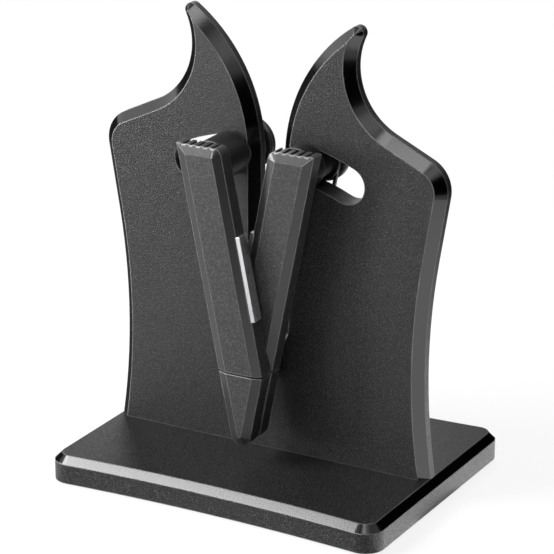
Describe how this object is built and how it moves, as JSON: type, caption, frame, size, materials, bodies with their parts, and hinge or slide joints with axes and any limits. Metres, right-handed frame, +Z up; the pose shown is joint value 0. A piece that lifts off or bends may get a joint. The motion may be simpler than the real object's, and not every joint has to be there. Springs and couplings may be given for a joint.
{
  "type": "manual knife sharpener",
  "caption": "Bench knife sharpener: spring-loaded crossed arms with steel rods, pivoted in front of a horned upright plate with a central knife gap, on a flat weighted base.",
  "frame": {"origin": "middle of the footprint, on the surface that the feet stand on", "axes": "+X to the right along the upright, +Y away from the user, +Z up"},
  "size_m": [0.1232, 0.092, 0.1549],
  "materials": {
    "stand_plastic": "fine spark-eroded grain, black",
    "arm_plastic": "satin, fine grain, dark grey",
    "hub_plastic": "smooth satin black",
    "bush_plastic": "smooth low-friction bearing plastic",
    "rod_steel": "ground hard steel",
    "spring_steel": "drawn spring wire",
    "pin_steel": "turned steel",
    "screw_steel": "black oxide",
    "insert_brass": "turned",
    "foot_rubber": "matt"
  },
  "bodies": {
    "stand": {"base_plate": "stand_plastic", "upright": "stand_plastic", "rubber_feet": "foot_rubber", "base_screws": "screw_steel", "threaded_inserts": "insert_brass", "pivot_pin": "pin_steel", "pivot_spacer": "stand_plastic", "thrust_washer": "bush_plastic", "spring_spool": "bush_plastic", "spool_washer": "pin_steel", "spool_screw": "screw_steel", "spring_pegs": "pin_steel", "left_spring": "spring_steel", "right_spring": "spring_steel"},
    "left_arm": {"left_bar": "arm_plastic", "left_nose": "arm_plastic", "left_nose_dowels": "pin_steel", "left_sharpening_rod": "rod_steel", "left_pivot_bush": "bush_plastic", "left_hub": "hub_plastic", "left_slide_bush": "bush_plastic", "left_spring_sleeve": "bush_plastic", "left_retaining_disc": "hub_plastic", "left_hub_screw": "screw_steel"},
    "right_arm": {"right_bar": "arm_plastic", "right_nose": "arm_plastic", "right_nose_dowels": "pin_steel", "right_sharpening_rod": "rod_steel", "right_pivot_bush": "bush_plastic", "right_hub": "hub_plastic", "right_slide_bush": "bush_plastic", "right_spring_sleeve": "bush_plastic", "right_retaining_disc": "hub_plastic", "right_hub_screw": "screw_steel"}
  },
  "joints": [
    {"name": "left_arm_swing", "type": "hinge", "parent": "stand", "child": "left_arm", "pos_m": [0, 0, 0.0418], "axis": [0, -1, 0], "range_deg": [0, 12.5], "stiffness_Nm_per_rad": 1.5, "springref_deg": -11.46, "deforming": ["left_spring"]},
    {"name": "right_arm_swing", "type": "hinge", "parent": "stand", "child": "right_arm", "pos_m": [0, 0, 0.0418], "axis": [0, 1, 0], "range_deg": [0, 12.5], "stiffness_Nm_per_rad": 1.5, "springref_deg": -11.46, "deforming": ["right_spring"]}
  ]
}
